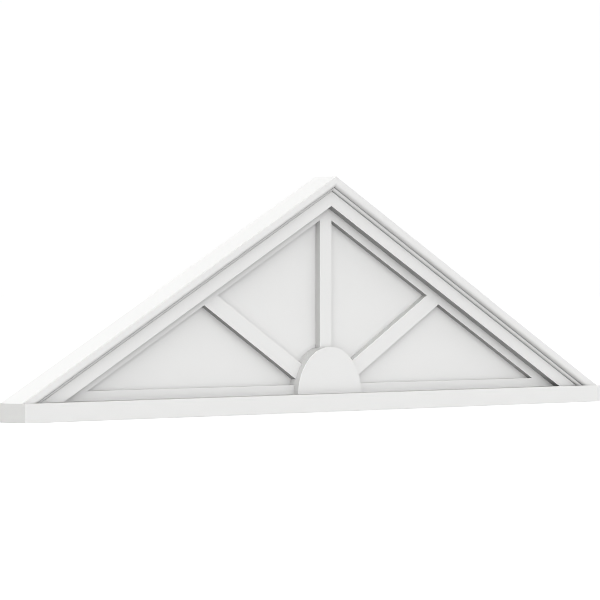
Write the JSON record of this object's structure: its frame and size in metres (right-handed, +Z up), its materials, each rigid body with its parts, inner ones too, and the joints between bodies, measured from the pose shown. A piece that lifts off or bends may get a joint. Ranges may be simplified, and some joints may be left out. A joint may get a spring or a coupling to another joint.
{
  "type": "classical pediment",
  "caption": "Low triangular pediment with a raking ovolo moulding, a flat base board, and spokes radiating from a half-round hub over a recessed panel.",
  "frame": {"origin": "middle of the underside of the base board, halfway between the wall plane and the front", "axes": "+X across the opening to the right seen from the front, +Y into the wall, +Z up; the front looks toward -Y"},
  "size_m": [1.8288, 0.0698, 0.494],
  "materials": {
    "pvc_base_board": "white cellular PVC board, satin, sawn and sanded edges",
    "pvc_back_panel": "white cellular PVC sheet, satin",
    "pvc_spoke_frame": "white cellular PVC sheet, routed, satin",
    "pvc_hub": "white cellular PVC block, satin",
    "pvc_rake_board": "white cellular PVC board, satin",
    "pvc_moulding": "white cellular PVC moulding, drawn, satin, mitred ends"
  },
  "bodies": {
    "root": {"base_board": "pvc_base_board", "back_panel": "pvc_back_panel", "spoke_frame": "pvc_spoke_frame", "half_round_hub": "pvc_hub", "left_rake_board": "pvc_rake_board", "right_rake_board": "pvc_rake_board", "left_rake_moulding": "pvc_moulding", "right_rake_moulding": "pvc_moulding"}
  },
  "joints": []
}
